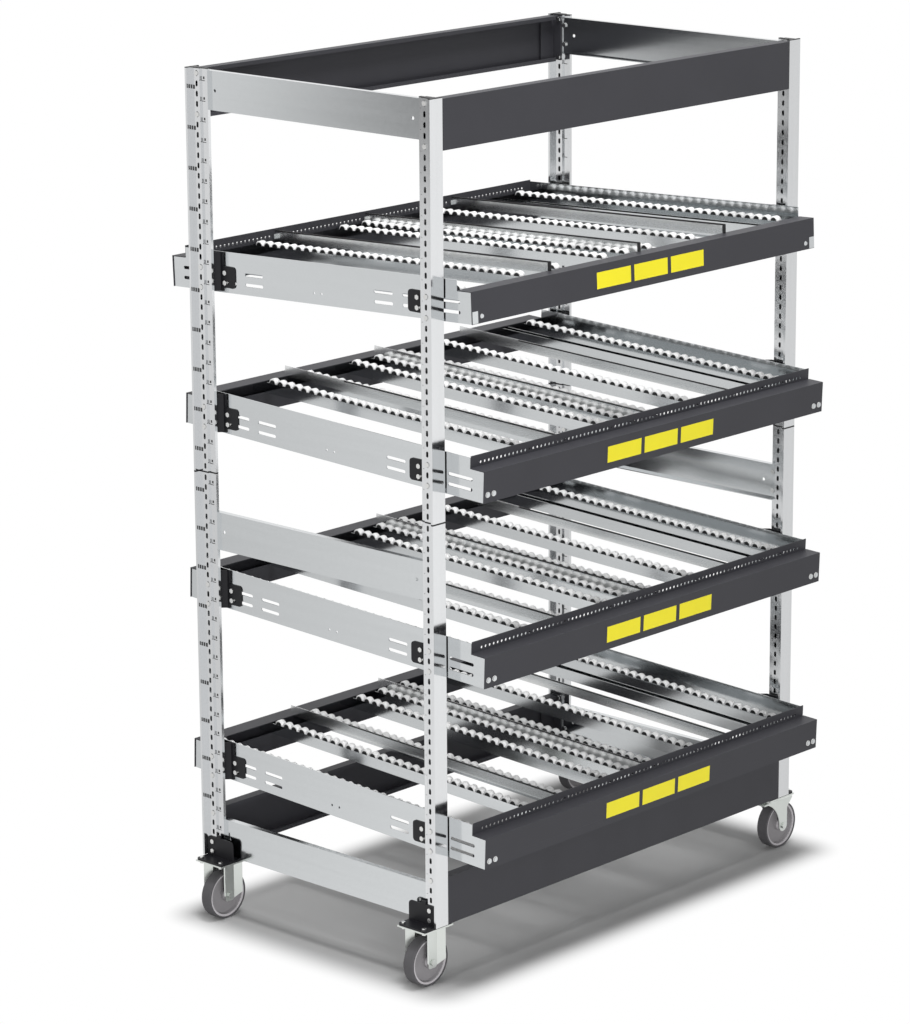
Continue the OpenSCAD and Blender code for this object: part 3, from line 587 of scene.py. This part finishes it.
def post_marks(post):
    """All the marks of one post."""
    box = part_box(post)
    outer = -1 if "left" in post else 1
    end = -1 if "front" in post else 1
    at_rear = end > 0
    marks = bmesh.new()
    for section_top in SECTION_TOPS:
        for step in range(0, SECTION_SLOTS, MARK_EVERY):
            level = section_top - SLOT_FIRST - (step + 0.5) * SLOT_STEP
            if level < MARK_FOOT:
                continue
            for bar in REAR_ANGLE if at_rear else FRONT_ANGLE:
                add_mark(marks, box, outer, end, TIP_INSET, level, bar)
                add_mark(marks, box, -outer, end, TIP_INSET, level, bar)
            if at_rear:
                add_mark(marks, box, outer, end, TIP_INSET, level, DOT_MARK)
            if at_rear and step % FIELD_EVERY == MARK_EVERY:
                for bar in FIELD_MARKS:
                    add_mark(marks, box, outer, end, WEB_INSET, level + SLOT_STEP, bar)
    return marks


for post in POSTS:
    add_piece(
        post + "_marks", post_marks(post), Matrix.Identity(4), "frame", "black_plastic", stamp_grey
    )

# %% [markdown]
# The top shelf's front beam is held by a small galvanised tab and a screw at each lower corner. The
# tab is a thin rounded plate and the screw a low cone with a flat end.

# %% Corner tabs of the top shelf
TAB_INNER = 618 * MM
TAB_OUTER = 637 * MM
TAB_FOOT = 1 * MM
TAB_TOP = 30 * MM
TAB_DEPTH = 0.9 * MM
TAB_ROUND = 0.4 * MM
SCREW_RADIUS = 6 * MM
SCREW_RIM = 0.75
SCREW_SIDES = 16
SCREW_DEPTH = 1.8 * MM
SCREW_INSET = 32 * MM
SCREW_HEIGHT = 16 * MM

tabs = bmesh.new()
front_face = high_end(TOP_SHELF) - SHEET
for side in (-1, 1):
    xs = sorted((side * TAB_INNER, side * TAB_OUTER))
    low = (xs[0], front_face - TAB_DEPTH, TAB_FOOT)
    add_block(tabs, low, (xs[1], front_face, TAB_TOP), TAB_ROUND)
    across = side * (SHELF_HALF_WIDTH - SCREW_INSET)
    middle = (across, front_face - SCREW_DEPTH / 2, SCREW_HEIGHT)
    add_disc(tabs, middle, -1, SCREW_RADIUS, SCREW_RIM, SCREW_DEPTH, SCREW_SIDES)
add_piece("shelf1_corner_tabs", tabs, shelf_matrix(TOP_SHELF), TOP_SHELF, "sheet_zinc", sheet_zinc)

# %% [markdown]
# The low beam of each shelf is bolted to its side plates by two bolts at each end. A flat washer
# lies under each head. It is a short cone that is a little wider at its foot, so its rim catches
# the light.

# %% Washers under the beam bolts
WASHER_RADIUS = 7.4 * MM
WASHER_RIM = 0.93
WASHER_SIDES = 24
WASHER_DEPTH = 0.9 * MM
WASHER_HEIGHT = 19.5 * MM
WASHER_INSETS = (11.4 * MM, 32.3 * MM)

for shelf in SHELVES:
    washers = bmesh.new()
    for side in (-1, 1):
        for inset in WASHER_INSETS:
            across = side * (SHELF_HALF_WIDTH - inset)
            middle = (across, low_face(shelf) + WASHER_DEPTH / 2, WASHER_HEIGHT)
            add_disc(washers, middle, 1, WASHER_RADIUS, WASHER_RIM, WASHER_DEPTH, WASHER_SIDES)
    add_piece(shelf + "_beam_washers", washers, shelf_matrix(shelf), shelf, "bolt_zinc", bolt_zinc)

# %% [markdown]
# The camera looks from the photograph's viewing angle: a long lens, about ten metres off, looking
# down by some fourteen degrees at the rack's front left corner. The place and the angles were
# solved from the straight edges of the rack.

# %% Camera
CAMERA_PLACE = (-7.1458, -6.4886, 3.4845)
CAMERA_YAW = 0.8196
CAMERA_PITCH = 0.2526
CAMERA_ROLL = -0.0066
CAMERA_LENS = 137.77
CAMERA_SENSOR = 36
CAMERA_REACH = 100

lens = bpy.data.cameras.new("camera")
lens.lens = CAMERA_LENS
lens.sensor_width = CAMERA_SENSOR
lens.clip_end = CAMERA_REACH
camera = bpy.data.objects.new("camera", lens)
bpy.context.scene.collection.objects.link(camera)
aim = Matrix.Rotation(-CAMERA_YAW, 4, "Z") @ Matrix.Rotation(math.pi / 2 - CAMERA_PITCH, 4, "X")
camera.matrix_world = Matrix.Translation(CAMERA_PLACE) @ aim @ Matrix.Rotation(CAMERA_ROLL, 4, "Z")
bpy.context.scene.camera = camera
print("camera at", CAMERA_PLACE)

# %% [markdown]
# A studio with a pale floor. Under the rack the floor is a plain matt surface that takes its
# shadow. Just beyond the wheels it turns into a white sheet for the camera and for reflections, as
# a backdrop that is lit on its own would, and the Light Path node keeps that extra white from
# lighting the rack. The box that stays grey follows the rack's footprint, so the dark under the rack
# is partly its real shadow and partly a painted shadow. The white that reflections see is made
# uneven as a painted reflection on the bright steel: a little dimmer to the left and behind the
# rack than to the right and before it, with one dim patch far out at the left. Places on the floor
# are metres from the rack's middle, to the camera's right and away from the camera.

# %% Floor
FLOOR_HALF = 60.0
FLOOR_DARK = (0.47, 0.47, 0.47)
FLOOR_PALE = (0.50, 0.50, 0.50)
FLOOR_ROUGH = 0.8
FLOOR_SHINE = 0.1
FLOOR_CLOUDS = 3
# Box round the rack's footprint where the floor stays grey for the camera: a painted shadow on top of the real
# one.
SHADOW_HALF = (0.69, 0.40, 0)
SHADOW_FADE = 0.13
# These set the dimming of the white that only reflections see: a painted reflection on the steel.
RIGHTWARDS = (0.73, -0.68, 0)
AWAY = (0.68, 0.73, 0)
SIDE_RANGE = (-3.0, 3.0)
DIM_SIDE, BRIGHT_SIDE = 0.90, 1.04
NEAR_RANGE = (-9.5, -4.5)
NEAR_DEPTH = (-0.9, 0.2)
NEAR_LIGHT, NEAR_DIM = 1.04, 0.80
PATCH_RIGHT_IN, PATCH_RIGHT_OUT = (-21.0, -17.0), (-13.5, -10.5)
PATCH_AWAY_IN, PATCH_AWAY_OUT = (-2.4, -1.2), (-0.7, 0.5)
PATCH_DIM = 0.15


def seen_directly(tree):
    """1 for the rays of the camera, of reflections and of clear materials, and 0 for the others."""
    rays = tree.nodes.new("ShaderNodeLightPath").outputs
    seen = calculate(tree, "MAXIMUM", rays["Is Camera Ray"], rays["Is Glossy Ray"])
    return calculate(tree, "MAXIMUM", seen, rays["Is Transmission Ray"])


def sheet_and_painted_reflection(tree, coords):
    """White for the camera. For reflections it is dimmed in places, a painted reflection on the steel."""
    # Reflections only: dimmer to the left, behind and in one far patch, a painted reflection.
    right = calculate_vector(tree, "DOT_PRODUCT", coords, RIGHTWARDS)["Value"]
    away = calculate_vector(tree, "DOT_PRODUCT", coords, AWAY)["Value"]
    side = ramp(tree, right, *SIDE_RANGE, DIM_SIDE, BRIGHT_SIDE)
    near = ramp(tree, away, *NEAR_DEPTH, NEAR_LIGHT, NEAR_DIM)
    near = ramp(tree, right, *NEAR_RANGE, 1.0, near)
    patch = ramp(tree, away, *PATCH_AWAY_OUT, PATCH_DIM, 1.0)
    patch = ramp(tree, away, *PATCH_AWAY_IN, 1.0, patch)
    patch = ramp(tree, right, *PATCH_RIGHT_OUT, patch, 1.0)
    patch = ramp(tree, right, *PATCH_RIGHT_IN, 1.0, patch)
    painted_reflection_grade = calculate(tree, "MULTIPLY", calculate(tree, "MULTIPLY", side, near), patch)
    rays = tree.nodes.new("ShaderNodeLightPath").outputs
    return spread(tree, rays["Is Camera Ray"], painted_reflection_grade, 1.0)


def beyond(tree, coords, half):
    """How far a point lies outside the box of the given half sizes, in metres."""
    folded = calculate_vector(tree, "ABSOLUTE", coords)["Vector"]
    past = calculate_vector(tree, "SUBTRACT", folded, half)["Vector"]
    outside = calculate_vector(tree, "MAXIMUM", past, (0, 0, 0))["Vector"]
    return calculate_vector(tree, "LENGTH", outside)["Value"]


def floor_material():
    """A pale floor that turns into a white sheet outside a box round the rack, a painted shadow under it."""
    material, tree, shader, coords = start_material("studio_floor")
    cloud = noise(tree, coords, FLOOR_CLOUDS, detail=2)
    tree.links.new(tint(tree, cloud, FLOOR_DARK, FLOOR_PALE), shader.inputs["Base Color"])
    shader.inputs["Roughness"].default_value = FLOOR_ROUGH
    shader.inputs["Specular IOR Level"].default_value = FLOOR_SHINE
    # Grey inside the box round the footprint, white outside it: the box is a painted shadow.
    distance = beyond(tree, coords, SHADOW_HALF)
    outside_painted_shadow = ramp(tree, distance, 0.0, SHADOW_FADE, 0.0, 1.0, curve="SMOOTHSTEP")
    white = tree.nodes.new("ShaderNodeEmission")
    white.inputs["Color"].default_value = (1, 1, 1, 1)
    tree.links.new(sheet_and_painted_reflection(tree, coords), white.inputs["Strength"])
    blend = tree.nodes.new("ShaderNodeMixShader")
    tree.links.new(calculate(tree, "MULTIPLY", outside_painted_shadow, seen_directly(tree)), blend.inputs["Fac"])
    tree.links.new(shader.outputs["BSDF"], blend.inputs[1])
    tree.links.new(white.outputs["Emission"], blend.inputs[2])
    tree.links.new(blend.outputs["Shader"], tree.nodes["Material Output"].inputs["Surface"])
    return material


floor_shape = bmesh.new()
bmesh.ops.create_grid(floor_shape, x_segments=1, y_segments=1, size=FLOOR_HALF)
floor_mesh = bpy.data.meshes.new("floor")
floor_shape.to_mesh(floor_mesh)
floor_shape.free()
floor_mesh.materials.append(floor_material())
floor = bpy.data.objects.new("floor", floor_mesh)
bpy.context.scene.collection.objects.link(floor)
print("floor:", 2 * FLOOR_HALF, "m wide")

# %% [markdown]
# Two large soft lamps do the lighting: one over the rack, whose light falls through the open
# shelves on to the floor, and one from the front left, low enough to leave that shadow alone. The
# world is white where it is seen or mirrored, and greyer as a light, so that shadows stay.

# %% World and lamps
WORLD_LIGHT = 0.28


def add_lamp(name, place, target, size, watts):
    """A square soft lamp that looks at the target, and that no metal mirrors."""
    light = bpy.data.lights.new(name, "AREA")
    light.size = size
    light.energy = watts
    lamp = bpy.data.objects.new(name, light)
    lamp.location = place
    lamp.rotation_euler = (Vector(target) - Vector(place)).to_track_quat("-Z", "Y").to_euler()
    lamp.visible_glossy = False
    bpy.context.scene.collection.objects.link(lamp)


world = bpy.data.worlds.new("studio")
bpy.context.scene.world = world
world.use_nodes = True
sky = world.node_tree
background = sky.nodes["Background"]
background.inputs["Color"].default_value = (1, 1, 1, 1)
sky.links.new(spread(sky, seen_directly(sky), WORLD_LIGHT, 1.0), background.inputs["Strength"])
add_lamp("over_lamp", place=(-0.7, -1.3, 6.9), target=(0, 0, 0.6), size=2.0, watts=400)
add_lamp("front_lamp", place=(-4.5, -5.5, 1.6), target=(0, 0, 1.0), size=2.6, watts=275)
bpy.context.scene.view_settings.view_transform = "Standard"
print("lamps: 2")
